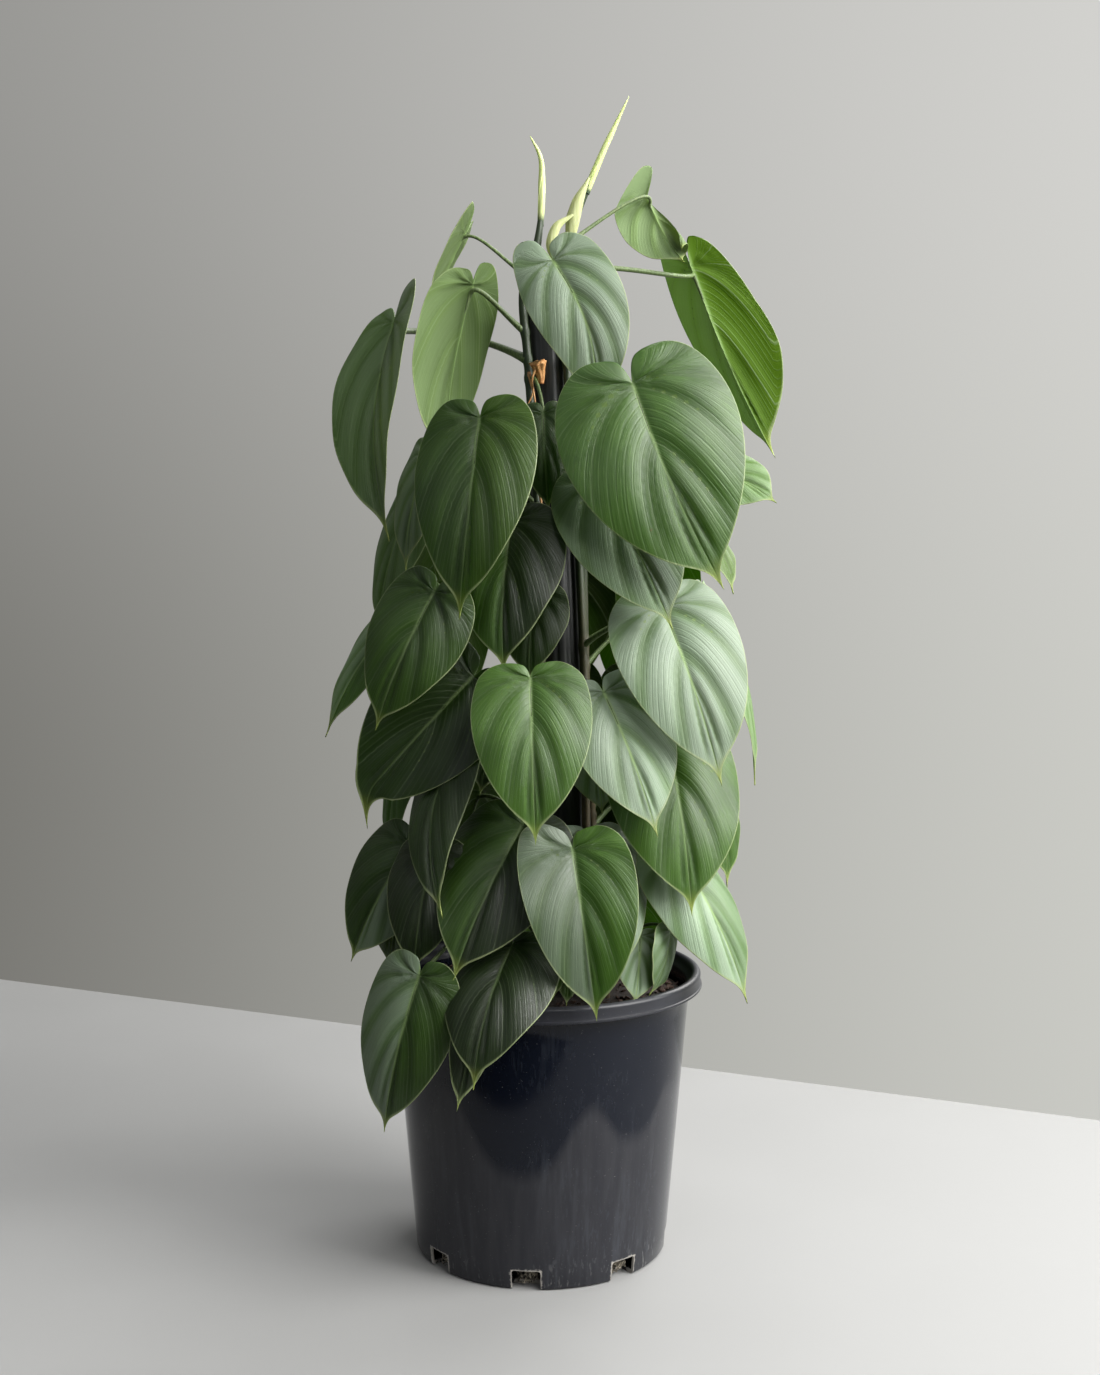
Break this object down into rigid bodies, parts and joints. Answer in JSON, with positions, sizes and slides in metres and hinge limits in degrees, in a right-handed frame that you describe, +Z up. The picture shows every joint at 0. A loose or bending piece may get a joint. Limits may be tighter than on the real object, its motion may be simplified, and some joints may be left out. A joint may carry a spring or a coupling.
{
  "type": "potted climbing plant",
  "caption": "Heartleaf philodendron trained up a dark pole, with overlapping glossy heart-shaped leaves all round, in a black plastic nursery pot.",
  "frame": {"origin": "centre of the pot's flat underside, on the ground", "axes": "+Z up along the plant; the front of the plant looks along -Y and its right side is +X"},
  "size_m": [0.3514, 0.3064, 0.8776],
  "materials": {
    "pot_plastic": "glossy blue-black moulded plastic with fine vertical streaks, dust and scuffs",
    "pole_cover": "matte black pleated cover around a fibre pole",
    "potting_mix": "loose dark bark and fibre",
    "foliage": "satin waxy leaf, dark green with paler veins and margins"
  },
  "bodies": {
    "root": {"pot": "pot_plastic", "pole": "pole_cover", "potting_mix": "potting_mix", "vine_front_left": "foliage", "vine_front_right": "foliage", "vine_right": "foliage", "vine_back": "foliage", "vine_left": "foliage"}
  },
  "joints": []
}
